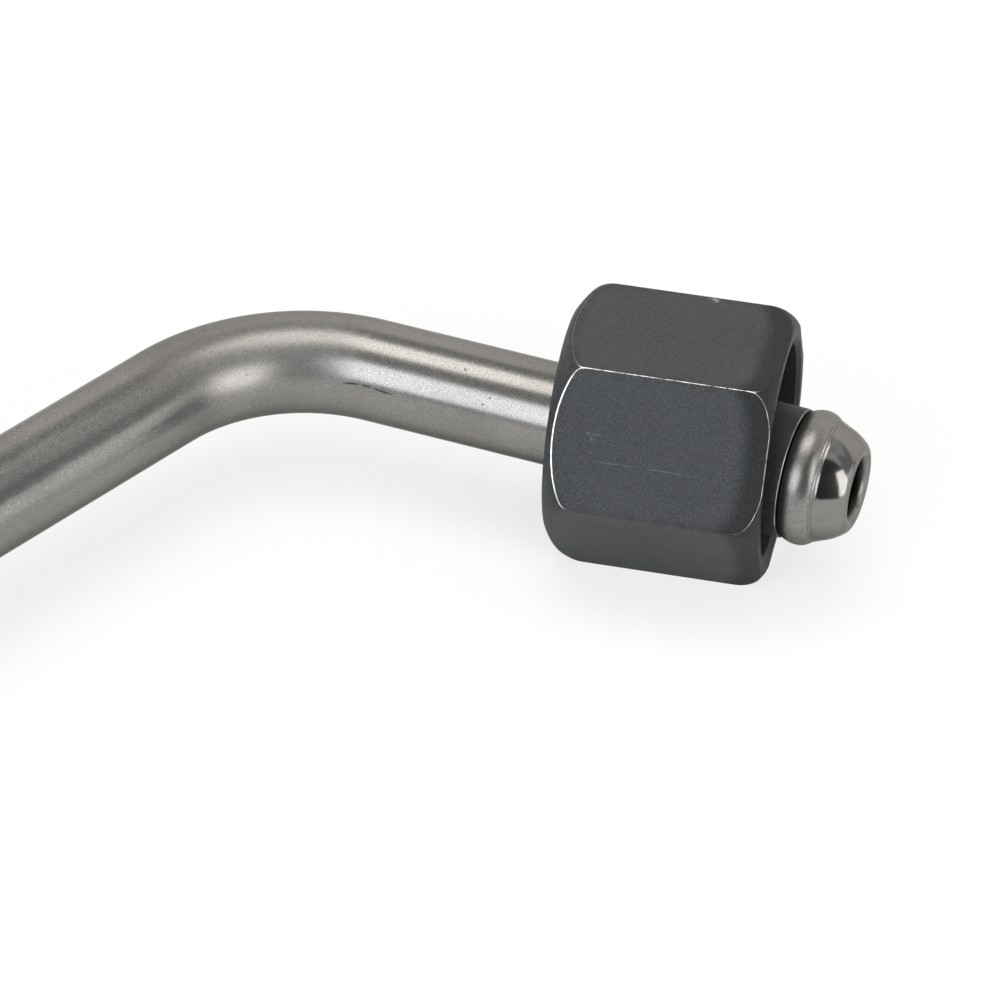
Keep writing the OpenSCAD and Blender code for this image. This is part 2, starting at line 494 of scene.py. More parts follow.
def thread_tree():
    """A helical ridge with its ends run out into the groove and the mouth."""
    tree, nodes, given = new_tree("Internal thread", [
        ("Turns", "NodeSocketFloat"), ("Pitch", "NodeSocketFloat"), ("Crest", "NodeSocketFloat"),
        ("Root", "NodeSocketFloat"), ("Start", "NodeSocketFloat"), ("Foot", "NodeSocketFloat"),
        ("Head", "NodeSocketFloat"), ("Material", "NodeSocketMaterial")])
    foot_share = 0.96
    crest_share = 0.27
    middle = (given["Crest"] + given["Root"]) * 0.5
    helix = nodes.add("GeometryNodeCurveSpiral", {
        "Resolution": 72, "Rotations": given["Turns"], "Start Radius": middle,
        "End Radius": middle, "Height": given["Turns"] * given["Pitch"]})
    helix = nodes.add("GeometryNodeSetCurveNormal", {"Curve": helix}, mode="Z_UP")
    ridge = nodes.add("GeometryNodeCurvePrimitiveQuadrilateral", {
        "Height": given["Root"] - given["Crest"], "Bottom Width": given["Pitch"] * foot_share,
        "Top Width": given["Pitch"] * crest_share, "Offset": 0.0}, mode="TRAPEZOID")
    ridge = nodes.add(
        "GeometryNodeTransform", {"Geometry": ridge, "Rotation": (0.0, 0.0, -pi / 2)})
    solid = nodes.add(
        "GeometryNodeCurveToMesh", {"Curve": helix, "Profile Curve": ridge, "Fill Caps": True})
    x, y, z = nodes.split(nodes.add("GeometryNodeInputPosition"))
    z = z + given["Start"]
    radius = (x * x + y * y) ** 0.5
    foot = given["Crest"] + (given["Foot"] - z).most(0.0)
    head = given["Crest"] + (z - given["Head"]).most(0.0)
    kept = radius.most(foot).most(head).least(given["Root"])
    place = nodes.join(x * kept / radius, y * kept / radius, z)
    moved = nodes.add("GeometryNodeSetPosition", {"Geometry": solid, "Position": place})
    close_tree(nodes, moved, given["Material"])
    return tree


# Meshes built in code

# Radius of the narrow end of the nut's seat, and length of its run-out groove
SEAT_R = 5 * MM
GROOVE_LEN = 1.6 * MM


def plain_mesh(name, points, faces, material, smooth_below):
    """A mesh from points and faces, smooth except across sharp edges."""
    mesh = bpy.data.meshes.new(name)
    mesh.from_pydata([tuple(q) for q in points], [], faces)
    mesh.validate()
    mesh.shade_smooth()
    mesh.set_sharp_from_angle(angle=radians(smooth_below))
    mesh.materials.append(material)
    return mesh


def ring_faces(columns, rows):
    """Quads of a closed grid of columns and rows, wrapped both ways."""
    faces = []
    for i in range(columns):
        n = (i + 1) % columns
        for j in range(rows):
            m = (j + 1) % rows
            faces.append((i * rows + j, n * rows + j, n * rows + m, i * rows + m))
    return faces


def add_data(mesh, name, kind, key, values, domain="POINT"):
    """Stores a number, a vector or a colour for each point or face."""
    data = mesh.attributes.new(name, kind, domain)
    data.data.foreach_set(key, np.asarray(values, np.float32).ravel())


def face_outwards(mesh):
    """Turns a closed mesh right side out, by the sign of its volume."""
    mesh.calc_loop_triangles()
    points = np.array([v.co for v in mesh.vertices])
    corners = np.array([t.vertices for t in mesh.loop_triangles])
    a, b, c = (points[corners[:, i]] for i in range(3))
    if (a * np.cross(b, c)).sum() <= 0:
        mesh.flip_normals()


def add_object(name, mesh):
    """An object at the origin, in the scene."""
    thing = bpy.data.objects.new(name, mesh)
    bpy.context.scene.collection.objects.link(thing)
    return thing


def hex_directions(flats, corner):
    """For each direction round the hexagon: angle, radius, side and place across the flat."""
    flat_r = flats / 2
    middle = (flat_r - corner) / cos(pi / 6)
    reach = atan2(corner * 0.5, flat_r / cos(pi / 6)) * 1.05
    coarse = pi / 6 - 0.11
    fine = np.linspace(coarse, pi / 6 - reach, 12)
    steps = list(-fine[::-1]) + list(np.linspace(-coarse, coarse, 15)[1:-1]) + list(fine)
    steps += [pi / 6 + t for t in np.linspace(-reach, reach, 14)[1:-1]]
    ring = []
    for side in range(6):
        for t in steps:
            beyond = t > pi / 6
            local = t - pi / 3 if beyond else t
            away = pi / 6 - abs(local)
            radius = flat_r / cos(local)
            if away < reach:
                step = middle * sin(away)
                radius = min(radius, middle * cos(away) + sqrt(max(corner ** 2 - step ** 2, 0.0)))
            owner = (side + 1) % 6 if beyond else side
            ring.append((side * pi / 3 + t, radius, owner, radius * sin(local)))
    return ring


def end_round(face_r, corner_r, depth, radius):
    """Middle of the arc that rounds one end of the nut: radius, distance from the end."""
    run = corner_r - face_r
    chord = hypot(run, depth)
    lift = sqrt(radius ** 2 - chord ** 2 / 4)
    return (face_r + corner_r) / 2 - depth / chord * lift, depth / 2 + run / chord * lift


def rolled(n, radius, gap):
    """Radius of a column at a distance from the front face, where the flats fall away."""
    share = max(1 - gap / n.roll_len, 0.0)
    return radius * (1 - n.roll_drop / (n.flats / 2) * share ** 2)


def rounded_end(face_r, middle, radius, side, edge):
    """One end of a nut column: where its crease lies, and its points as distance and radius."""
    def height(r):
        return middle[1] - sqrt(max(radius ** 2 - (r - middle[0]) ** 2, 0.0))

    # Both kinds of end have the same number of points, because columns are joined row by row
    count = 20
    small = 0.12 * MM
    crease = side(0.0)
    if crease <= face_r + small:
        points = [(0.0, crease - small - (count - i) * 0.004 * MM) for i in range(count)]
        for t in np.linspace(0, pi / 2, 9):
            x = small * (1 - cos(t))
            points.append((x, side(x) - small + small * sin(t)))
        return 0.0, points
    for _ in range(20):
        crease = side(height(crease))
    lean = (crease - middle[0]) / radius
    drop = edge * sqrt(max(1 - lean ** 2, 0.0))
    far = max(crease - max(drop, 0.05 * MM), face_r + 0.01 * MM)
    points = [(height(r), r) for r in np.linspace(face_r, far, count)]
    start = Vector((height(far), far))
    corner = Vector((height(crease), crease))
    stop = Vector((corner[0] + edge, side(corner[0] + edge)))
    for t in np.linspace(0, 1, 10)[1:]:
        q = start * (1 - t) ** 2 + corner * 2 * t * (1 - t) + stop * t ** 2
        points.append((q[0], q[1]))
    return corner[0], points


def bore_radii(n):
    """Radius of the thread's crests and roots, of the run-out groove and of the mouth."""
    root_r = n.root_d / 2
    return n.crest_d / 2, root_r, root_r + 0.15 * MM, root_r + 0.35 * MM


def seat_top(n):
    """Distance from the rear to the wide end of the seat's cone."""
    return n.wall + n.crest_d / 2 - SEAT_R


def nut_inside(n):
    """Bore of the nut from the front face to the rear face: distance from the rear, radius."""
    crest_r, root_r, groove_r, mouth_r = bore_radii(n)
    hole_r = n.hole_d / 2
    rim = 0.35 * MM
    hole_edge = 0.25 * MM
    seat = seat_top(n)
    deep = seat + groove_r - crest_r
    run_out = deep + GROOVE_LEN
    mouth = n.height - n.mouth_len
    return [
        (n.height, mouth_r + rim), (n.height - rim, mouth_r), (mouth, mouth_r),
        (mouth - (mouth_r - root_r), root_r), (run_out + (groove_r - root_r), root_r),
        (run_out, groove_r), (deep, groove_r), (seat, crest_r), (n.wall, SEAT_R),
        (n.wall, hole_r), (hole_edge, hole_r), (0.0, hole_r + hole_edge),
    ]


def thread_values(n):
    """Turns, sizes and ends of the thread, for the inputs of its tree."""
    crest_r, root_r, groove_r, mouth_r = bore_radii(n)
    lead = 0.75 * MM
    foot = seat_top(n) + 2 * (groove_r - crest_r) + GROOVE_LEN
    head = n.height - n.mouth_len - (mouth_r - crest_r)
    return {
        "Turns": (head - foot + 2 * lead) / n.pitch, "Pitch": n.pitch, "Crest": crest_r,
        "Root": root_r + 0.04 * MM, "Start": foot - lead, "Foot": foot, "Head": head}


def nut_ends(n):
    """Face radius, arc middle, arc radius of the rear and the front rounding."""
    corner_r = n.flats / sqrt(3)
    ends = []
    for share, depth, radius in ((0.463, 1.75 * MM, 8 * MM), (0.508, 1.4 * MM, 3 * MM)):
        face_r = n.flats * share
        ends.append((face_r, end_round(face_r, corner_r, depth, radius), radius))
    return ends


def nut_column(n, radius, near, ends):
    """Outside of the nut in one direction, and where its rear and front creases lie."""
    rear, front = ends
    wide = 0.9 * near ** 2
    rear_crease, low = rounded_end(*rear, lambda x: radius, (0.2 + wide) * MM)
    front_crease, high = rounded_end(*front, lambda x: rolled(n, radius, x), (0.12 + wide) * MM)
    flat = np.linspace(low[-1][0], n.height - high[-1][0], 42)[1:-1]
    column = low + [(x, rolled(n, radius, n.height - x)) for x in flat]
    column += [(n.height - x, r) for x, r in reversed(high)]
    return column, rear_crease, front_crease


def nut_mesh(name, n, matrix, material, rubbed):
    """Hexagon nut with rounded ends: one profile for each direction round its axis."""
    ring = hex_directions(n.flats, n.corner)
    ends = nut_ends(n)
    bore = nut_inside(n)
    half_side = n.flats / 2 * tan(pi / 6)
    # The bore counts as far beyond the edges of a side, so that no worn line runs into it and the painted
    # shade darkens all of it
    beyond = -3 * MM
    points = []
    panel = []
    bare = []
    for a, radius, owner, across in ring:
        inset = half_side - abs(across)
        near = max(0.0, 1 - inset / (2.0 * MM))
        column, rear_crease, front_crease = nut_column(n, radius, near, ends)
        panel += [(x - rear_crease, n.height - x - front_crease, inset) for x, r in column]
        panel += [(beyond, beyond, beyond)] * len(bore)
        points += [matrix @ Vector((x, r * sin(a), r * cos(a))) for x, r in column + bore]
        rear_bare, front_bare, before, after = rubbed[owner]
        bare.append((rear_bare, front_bare, after if across > 0 else before, 1.0))
    rows = len(column) + len(bore)
    faces = [tuple(reversed(f)) for f in ring_faces(len(ring), rows)]
    mesh = plain_mesh(name, points, faces, material, 32.0)
    add_data(mesh, "panel", "FLOAT_VECTOR", "vector", panel)
    add_data(mesh, "rubbed", "FLOAT_COLOR", "color", np.repeat(bare, rows, axis=0), "FACE")
    return mesh


def sleeve_profile(s):
    """Profile of the sleeve: distance from its front, radius and how far it is worn."""
    bore_r = s.bore_d / 2
    outer_r = s.outer_d / 2
    end = s.run - s.cone
    groove_deep = 0.006 * MM
    profile = [(0.0, bore_r, 0.0)]
    profile += [(0.0, r, 0.0) for r in np.linspace(bore_r, outer_r - s.edge, 9)[1:-1]]
    for x, drop, worn in ((0.0, 1.0, 0.0), (0.15, 0.6, 0.7), (0.4, 0.3, 1.0), (0.75, 0.08, 0.5)):
        profile.append((s.edge * x, outer_r - s.edge * drop, worn))
    profile.append((s.edge, outer_r - 0.004 * MM, 0.0))
    count = int((end - s.edge) / s.groove) * 4
    for i in range(1, count):
        x = s.edge + (end - s.edge) * i / count
        dip = groove_deep * (0.5 - 0.5 * cos(i * pi / 2))
        profile.append((x, outer_r - dip, 0.0))
    profile += [(end, outer_r, 0.0), (s.run, outer_r - s.cone, 0.0), (s.run, bore_r, 0.0)]
    return profile + [(s.run - i * s.run / 6, bore_r, 0.0) for i in range(1, 6)]


def sleeve_mesh(name, s, matrix, material):
    """Turned sleeve with fine grooves on its outside; the matrix puts its front at the bead."""
    profile = sleeve_profile(s)
    columns = 128
    points = []
    for i in range(columns):
        a = 2 * pi * i / columns
        points += [matrix @ Vector((x, r * cos(a), r * sin(a))) for x, r, worn in profile]
    mesh = plain_mesh(name, points, ring_faces(columns, len(profile)), material, 35.0)
    add_data(mesh, "wear", "FLOAT", "value", [worn for x, r, worn in profile] * columns)
    return mesh


def straighten(mesh):
    """Stores where each point would be if the pipe were straight and as wide as the tube."""
    parts = []
    for name in ("run", "ring_x", "ring_y"):
        values = np.zeros(len(mesh.vertices), np.float32)
        mesh.attributes[name].data.foreach_get("value", values)
        parts.append(values)
    run, x, y = parts
    add_data(mesh, "straight", "FLOAT_VECTOR", "vector", np.stack([run, x * 4 * MM, y * 4 * MM], axis=1))
    for name in ("run", "ring_x", "ring_y"):
        mesh.attributes.remove(mesh.attributes[name])


def end_matrix(p, end):
    """Frame of one end of the pipe: origin at its tip, +X out of its port."""
    if end == "a":
        return Matrix.Translation((p.lip_r, 0.0, 0.0))
    point, way = along_pipe(p, pipe_length(p))
    turn = Matrix((way, Vector(UP).cross(way), UP)).transposed().to_4x4()
    return Matrix.Translation(point) @ turn


def nut_matrix(p, n, end):
    """Frame of a nut: origin in the middle of its rear face, +X to its mouth."""
    askew = n.askew if end == "a" else 0.0
    play = n.play if end == "a" else 0.0
    return (end_matrix(p, end) @ Matrix.Translation((-n.setback, play, 0.0))
            @ Matrix.Rotation(askew, 4, "Z") @ Matrix.Translation((-n.wall / 2, 0.0, 0.0)))


# Finishes

# How far each side of a nut is rubbed bare: rear arc, front arc, and its two long edges
RUBBED = {
    "a": [(0.18, 0.02, 0.52, 0.3), (0.5, 0.4, 0.3, 0.4), (0.4, 0.5, 0.4, 0.6),
          (0.5, 0.4, 0.6, 0.5), (0.10, 0.10, 0.5, 0.12), (0.95, 0.32, 0.12, 0.46)],
    "b": [(0.5, 0.4, 0.5, 0.6), (0.8, 0.5, 0.6, 0.4), (0.3, 0.4, 0.4, 0.3),
          (0.4, 0.3, 0.3, 0.5), (0.6, 0.5, 0.5, 0.6), (0.9, 0.6, 0.6, 0.5)],
}


# Places of marks, in mm from the part's origin
PIPE_SCRATCH = [(-39.9, -3.87, 1.2), (-38.38, -3.71, 1.38), (-37.52, -3.76, 1.32), (-35.59, -3.82, 1.15)]
PIPE_DENTS = [(-28.07, -3.01, 2.56), (-28.49, -3.4, 2.04), (-34.6, -3.85, 1.0), (-33.9, -3.84, 1.1)]
NUT_SCRATCH = [(-17.93, -8.49, 3.46), (-14.14, -7.91, 3.49), (-9.59, -7.27, 3.42)]
NUT_SCUFF = [(-18.6, -7.5, 5.3), (-18.3, -7.5, 5.15), (-17.5, -7.4, 5.2)]
NUT_SCUFF_LEG = [(-18.3, -7.6, 5.1), (-18.08, -7.74, 4.75)]
NUT_NICK = [(-13.7, 6.3, 9.45), (-13.0, 6.36, 9.45)]

# Colours inside pits and scratches, of the painted shade in the pipe's bore, and of the bright specks in
# both coats
PIT_DARK = (0.03, 0.028, 0.026)
BORE_SHADE = (0.025, 0.024, 0.023)
SPECK_LIGHT = (0.12, 0.13, 0.144)
CRYSTAL_LIGHT = (0.10, 0.107, 0.117)
SCUFF_LIGHT = (0.20, 0.22, 0.24)
GRAIN_LIGHT = (0.13, 0.137, 0.145)

# Base of the powers and the logarithm that blend the edges of a side
BASE = 2.718282


def pipe_marks(nodes):
    """One long dark scratch and a few dents on the leg beside nut A."""
    place = nodes.add("ShaderNodeTexCoord", out=3)
    mark = scratches(nodes, place, PIPE_SCRATCH, 0.05, 0.07)
    dents = None
    for pit in PIPE_DENTS:
        dent = nodes.vector("DISTANCE", place, scaled(pit, MM), out=1).rise(0.1 * MM, 0.04 * MM)
        dents = dent if dents is None else dents.most(dent)
    return mark, dents


def steel_zones(nodes, p, place):
    """Masks of the ball, bead, plain pipe, far leg, duller bend, and the bore past the lip, where shade is
    painted.
    """
    run = nodes.split(place)[0]
    inner = nodes.add("ShaderNodeAttribute", {}, out=2, attribute_name="bore")
    behind = run.least(pipe_length(p) - run)
    ball = behind.rise(2.3 * MM, 2.1 * MM)
    pipe = behind.rise(4.8 * MM, 5.2 * MM)
    far = run.rise(p.leg_a + 6 * MM, p.leg_a + 16 * MM)
    dull = run.band(p.leg_a + p.bend_r * p.bend_turn * 0.58, 6.5 * MM, 5 * MM)
    bore = inner * behind.rise(0.12 * MM, 0.5 * MM)
    return ball, 1.0 - ball - pipe, pipe, far, dull, bore


def steel_pits(nodes, place, pipe, dents):
    """Fine pits in patches of the plain pipe, and its dents."""
    patches = nodes.noise(place, 420.0, 1.0).rise(0.60, 0.68)
    return (nodes.cells(place, 1000.0).rise(0.13, 0.05) * patches * pipe).most(dents)


def steel_glint(nodes, place, far):
    """Fine bright specks in rows along the far leg."""
    rows = nodes.noise(nodes.drawn_out(place, 0.06), 420.0, 1.0).rise(0.52, 0.6) * far
    return nodes.cells(nodes.drawn_out(place, 0.4), 2400.0).rise(0.2, 0.08) * rows


def satin_steel(p):
    """Bright drawn steel: satin pipe, finely pitted bead and polished ball nose."""
    material, nodes = new_material("satin_steel")
    place = nodes.add("ShaderNodeAttribute", {}, out=1, attribute_name="straight")
    ball, bead, pipe, far, dull, bore = steel_zones(nodes, p, place)
    mark, dents = pipe_marks(nodes)
    pits = steel_pits(nodes, place, pipe, dents)
    glint = steel_glint(nodes, place, far)
    cloud = nodes.noise(place, 160.0, 2.0)
    mottle = nodes.noise(place, 900.0, 3.0, 0.6)
    grain = nodes.noise(place, 8500.0, 2.0, 0.6)
    coarse = nodes.noise(place, 2400.0, 3.0, 0.6)
    drawn = nodes.noise(nodes.drawn_out(place, 0.05), 2600.0, 2.0)
    streak = nodes.noise(nodes.drawn_out(place, 0.03), 900.0, 2.0)
    speck = 1.0 + (coarse - 0.5) * (0.24 - ball * 0.15) + (grain - 0.5) * (1.2 - ball * 1.06)
    speck = speck + (streak - 0.5) * far * 0.28 + (mottle - 0.5) * (ball * 0.3 + bead * 0.16)
    speck = speck * (1.0 - ball * 0.1)
    base = nodes.blend(cloud.rise(0.3, 0.7), scaled(p.steel, 0.94), scaled(p.steel, 1.05))
    base = nodes.blend(1.0, base, nodes.join(speck, speck, speck), "MULTIPLY")
    base = nodes.blend(glint * 0.45, base, scaled(p.steel, 2.2))
    base = nodes.blend((pits * 0.5).most(mark * 0.85), base, PIT_DARK)
    # Painted shade: the bore past the lip is coloured near black
    base = nodes.blend(bore * 0.97, base, BORE_SHADE)
    rough = p.satin + (p.dull - p.satin) * dull + (coarse - 0.5) * 0.1 + bead * 0.12
    rough = rough + (streak - 0.5) * far * 0.06
    rough = rough * (1.0 - ball) + ball * (p.polish + (mottle - 0.5) * 0.12) + bore * 0.25
    relief = grain * 0.5 + coarse * 0.4 + drawn * 0.25
    normal = nodes.bump(relief * (1.0 - ball * 0.85 - bead * 0.3), 0.006 * MM, 0.5)
    normal = nodes.bump(pits * -1.0, 0.02 * MM, 0.8, normal)
    shader = nodes.add("ShaderNodeBsdfPrincipled", {
        "Base Color": base, "Metallic": 1.0, "Roughness": rough, "Normal": normal,
        "Specular Tint": (0.6, 0.59, 0.57, 1.0)})
    finish_material(nodes, shader)
    return material


def rubbed_edges(nodes):
    """Distance inside the nearest edge of a side, how far that is rubbed, and the gap to the front."""
    soft = 0.2 * MM
    gaps = nodes.split(nodes.add("ShaderNodeAttribute", {}, out=1, attribute_name="panel"))
    rubbed = nodes.add("ShaderNodeAttribute", {}, out=0, attribute_name="rubbed")
    outputs = nodes.add("ShaderNodeSeparateColor", {0: rubbed}).socket.node.outputs
    gaps[0] = gaps[0] - 0.15 * MM
    weights = [BASE ** (gap * (-1.0 / soft)).least(20.0) for gap in gaps]
    total = weights[0] + weights[1] + weights[2]
    shares = [weights[i] * Wire(nodes, outputs[i]) for i in range(3)]
    share = (shares[0] + shares[1] + shares[2]) / total
    away = nodes.add("ShaderNodeMath", {0: total, 1: BASE}, operation="LOGARITHM") * -soft
    return away, share, gaps[1]


def nut_marks(nodes, place):
    """Faint scratch, light scuffs and one bright nick on nut A."""
    long = scratches(nodes, place, NUT_SCRATCH, 0.02, 0.06)
    scuff = scratches(nodes, place, NUT_SCUFF, 0.05, 0.12)
    scuff = scuff.most(scratches(nodes, place, NUT_SCUFF_LEG, 0.05, 0.1))
    nick = scratches(nodes, place, NUT_NICK, 0.12, 0.22)
    return long * 0.3 + scuff * 0.35, nick


def dark_phosphate(n):
    """Charcoal phosphate coat with a fine crystal speckle, rubbed bright along the edges, with shade
    painted near the edges, behind the front crease, over the front rounding and inside the bore and thread.
    """
    material, nodes = new_material("dark_phosphate")
    place = nodes.add("ShaderNodeTexCoord", out=3)
    away, share, gap = rubbed_edges(nodes)
    faint, nick = nut_marks(nodes, place)
    cloud = nodes.noise(place, 130.0, 3.0)
    # Noise that breaks up the edges of the painted shade
    shade_noise = nodes.noise(place, 700.0, 4.0, 0.6)
    crystal = nodes.noise(place, 19000.0, 0.0, 0.6)
    speck = nodes.noise(place, 12500.0, 0.0, 0.5)
    chips = nodes.noise(place, 1500.0, 4.0, 0.7)
    width = (0.03 + share * 0.06) * MM
    line = 1.0 - abs(away - 0.02 * MM) / width
    bare = line + (chips - 0.5) * (2.6 - share * 1.9) - (1.0 - share) * 0.25
    bare = (bare.rise(0.15, 0.6) * share.rise(0.05, 0.5)).most(nick * chips.rise(0.35, 0.6) * 0.8)
    # Painted shade: darker within 0.8 mm of each edge of a side, and in a band within about 2.6 mm of the
    # front crease, over the front rounding and in the bore and thread
    edge_shade = away.rise(0.8 * MM, 0.1 * MM) * shade_noise.rise(0.35, 0.65)
    band = (gap + (shade_noise - 0.5) * 0.8 * MM).rise(2.6 * MM, 1.1 * MM)
    shade = (edge_shade * 0.4).most(band * 0.9)
    lit = 1.0 - shade * 0.7
    coat = nodes.blend(cloud.rise(0.3, 0.7), scaled(n.charcoal, 0.9), scaled(n.charcoal, 1.1))
    # Painted shade darkens the coat towards a quarter of its colour
    coat = nodes.blend(shade, coat, scaled(n.charcoal, 0.25))
    coat = nodes.blend(speck.rise(0.48, 0.78) * 0.42 * lit, coat, SPECK_LIGHT)
    coat = nodes.blend(crystal.rise(0.5, 0.8) * 0.34 * lit, coat, CRYSTAL_LIGHT)
    coat = nodes.blend(faint * chips.rise(0.3, 0.6), coat, SCUFF_LIGHT)
    colour = nodes.blend(bare, coat, tuple(n.worn))
    rough = 0.56 + (crystal - 0.5) * 0.2 - bare * 0.2
    normal = nodes.bump(crystal * 0.6 + speck, 0.005 * MM, 0.7)
    shader = nodes.add("ShaderNodeBsdfPrincipled", {
        "Base Color": colour, "Metallic": bare, "Roughness": rough, "Normal": normal,
        "Specular IOR Level": 0.24})
    finish_material(nodes, shader)
    return material


def sleeve_coat(s, n):
    """Dark turned sleeve with a thin bright rubbed front edge."""
    material, nodes = new_material("turned_sleeve")
    place = nodes.add("ShaderNodeTexCoord", out=3)
    worn = nodes.add("ShaderNodeAttribute", {}, out=2, attribute_name="wear")
    grain = nodes.noise(place, 4200.0, 2.0, 0.6)
    patch = nodes.noise(place, 380.0, 3.0)
    bare = (worn + (patch - 0.5) * 1.1).rise(0.72, 1.0)
    coat = nodes.blend(patch, scaled(s.coat, 0.8), scaled(s.coat, 1.3))
    coat = nodes.blend(grain.rise(0.58, 0.76) * 0.35, coat, GRAIN_LIGHT)
    colour = nodes.blend(bare, coat, scaled(n.worn, 0.8))
    rough = 0.55 + (grain - 0.5) * 0.2 - bare * 0.2
    normal = nodes.bump(grain, 0.004 * MM, 0.5)
    shader = nodes.add("ShaderNodeBsdfPrincipled", {
        "Base Color": colour, "Metallic": bare, "Roughness": rough, "Normal": normal,
        "Specular IOR Level": 0.35})
    finish_material(nodes, shader)
    return material


def white_floor(g):
    """Pale floor that the camera sees nearly white, and that keeps the shadow."""
    material, nodes = new_material("white_floor")
    seen = nodes.add("ShaderNodeLightPath", out=0)
    paint = nodes.add("ShaderNodeBsdfDiffuse", {"Color": (*g.floor_tint, 1.0)})
    white = nodes.add("ShaderNodeEmission", {"Color": WHITE, "Strength": 1.0})
    finish_material(nodes, nodes.add("ShaderNodeMixShader", {0: seen * g.whiten, 1: paint, 2: white}))
    return material


def black_cloth():
    """Matt near-black of the card."""
    material, nodes = new_material("black_card")
    finish_material(nodes, nodes.add("ShaderNodeBsdfDiffuse", {"Color": (0.07, 0.075, 0.08, 1.0)}))
    return material


# Stage

WARM = (1.0, 0.975, 0.94)
WARM_WHITE = (1.0, 0.975, 0.93)
COOL = (0.90, 0.955, 1.0)
CARD_OUTLINE = ((-2.5, 1.8), (3.2, 1.3), (11.8, 0.5), (16.5, 21.9), (41, 37.5), (48, 75), (24, 80), (0, 41))


def sky_way(azimuth, elevation):
    """Direction from the object: azimuth from -Y towards +X, elevation from the floor."""
    a, e = radians(azimuth), radians(elevation)
    return Vector((sin(a) * cos(e), -cos(a) * cos(e), sin(e)))


def facing(way, distance, up=UP):
    """Matrix of a panel at a distance that faces the object with its -Z side."""
    back = way.normalized()
    side = Vector(up).cross(back).normalized()
    turn = Matrix((side, back.cross(side), back)).transposed().to_4x4()
    return Matrix.Translation(back * distance) @ turn


def soft_box(name, way, wide, high, level, distance=0.8, shade=WHITE[:3], up=UP):
    """Rectangular lamp, out of the camera's sight, given by the angles that it covers and its level."""
    lamp = bpy.data.lights.new(name, "AREA")
    lamp.shape = "RECTANGLE"
    lamp.size = 2 * distance * tan(radians(wide / 2))
    lamp.size_y = 2 * distance * tan(radians(high / 2))
    lamp.energy = pi * lamp.size * lamp.size_y * level
    lamp.color = shade
    thing = add_object(name, lamp)
    thing.matrix_world = facing(way, distance, up)
    thing.visible_camera = False
    return lamp


def dark_card(name, way, distance, outline, material):
    """Black card that only reflections show; its outline is in mm in its own plane."""
    matrix = facing(way, distance)
    corners = [tuple(matrix @ Vector((x * MM, y * MM, 0.0))) for x, y in outline]
    mesh = bpy.data.meshes.new(name)
    mesh.from_pydata(corners, [], [tuple(range(len(corners)))])
    mesh.materials.append(material)
    card = add_object(name, mesh)
    card.visible_camera = False
    card.visible_diffuse = False
    card.visible_shadow = False


def lay_floor(g):
    """A wide floor that the nuts lie on."""
    half = 6.0
    corners = [(x * half, y * half, -g.floor_z) for x, y in ((-1, -1), (1, -1), (1, 1), (-1, 1))]
    mesh = bpy.data.meshes.new("floor")
    mesh.from_pydata(corners, [], [(0, 1, 2, 3)])
    mesh.materials.append(white_floor(g))
    add_object("floor", mesh)


def even_light(scene, g):
    """Even light from all round."""
    world = bpy.data.worlds.new("studio")
    world.use_nodes = True
    world.node_tree.nodes.clear()
    nodes = Nodes(world.node_tree)
    light = nodes.add("ShaderNodeBackground", {"Color": WHITE, "Strength": g.ambient})
    nodes.add("ShaderNodeOutputWorld", {"Surface": light})
    scene.world = world


def hang_lamps():
    """Soft boxes as large and as bright as their reflections in the pipe and the nose."""
    over = Vector((-0.216, 0.061, 0.97))
    soft_box("overhead", over, 27, 49, 2.85, shade=WARM, up=(1.0, 0.0, 0.0))
    soft_box("high_back", sky_way(-175, 72), 20, 9, 3.0, shade=WARM)
    soft_box("ceiling", sky_way(137, 55), 30, 19, 0.3)
    soft_box("top_fill", sky_way(65, 62), 40, 28, 0.45)
    soft_box("front_left", sky_way(-23, 28), 34, 38, 3.15, distance=0.9, shade=COOL)
    soft_box("right_window", sky_way(64, 18), 36, 44, 3.4, distance=0.7)
    soft_box("right_fill", sky_way(97, 9), 34, 34, 0.95, distance=1.0)
    back = soft_box("back_panel", sky_way(180, 22), 110, 50, 0.68, distance=1.2, shade=WARM_WHITE)
    back.use_shadow = False


def place_camera(g):
    """Camera in front and above, a little to the right, as in the photo."""
    eye = Vector((81.19, -297.81, 247.91)) * MM
    aim = Vector((-25.94, -6.12, -4.55)) * MM
    ahead = (aim - eye).normalized()
    right = ahead.cross(Vector(UP)).normalized()
    down = ahead.cross(right)
    side = right * cos(g.roll) + down * sin(g.roll)
    up = -(down * cos(g.roll) - right * sin(g.roll))
    turn = Matrix((side, up, -ahead)).transposed().to_4x4()
    view = bpy.data.cameras.new("camera")
    view.lens = g.lens
    view.sensor_width = 36.0
    view.clip_start = 0.01
    view.clip_end = 20.0
    camera = add_object("camera", view)
    camera.matrix_world = Matrix.Translation(eye) @ turn
    bpy.context.scene.camera = camera


# Operators

class FUELLINE_OT_pipe(bpy.types.Operator):
    """Sweep the formed pipe with its two noses."""

    bl_idname = "fuelline.pipe"
    bl_label = "Formed Pipe"

    def execute(self, context):
        p = context.scene.fuelline_pipe
        weld = 0.0005 * MM
        line = bpy.data.curves.new("pipe_lines", "CURVE")
        line.dimensions = "3D"
        for skin, radius in ((nose_skin(p), p.tube_d / 2), (port_skin(p), p.bore_d / 2)):
            stations = both_ends(p, skin, radius)
            spline = line.splines.new("POLY")
            spline.points.add(len(stations) - 1)
            for point, (run, r) in zip(spline.points, stations):
                point.co = (*along_pipe(p, run)[0], 1.0)
                point.radius = r
        source = add_object("pipe_lines", line)
        mesh = run_tree(pipe_tree(), source, {
            "Sides": p.sides, "Weld": weld, "Material": satin_steel(p)})
        straighten(mesh)
        face_outwards(mesh)
        pipe = add_object("formed_pipe", mesh)
        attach(pipe, "tube")
        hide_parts("tube")
        return {"FINISHED"}


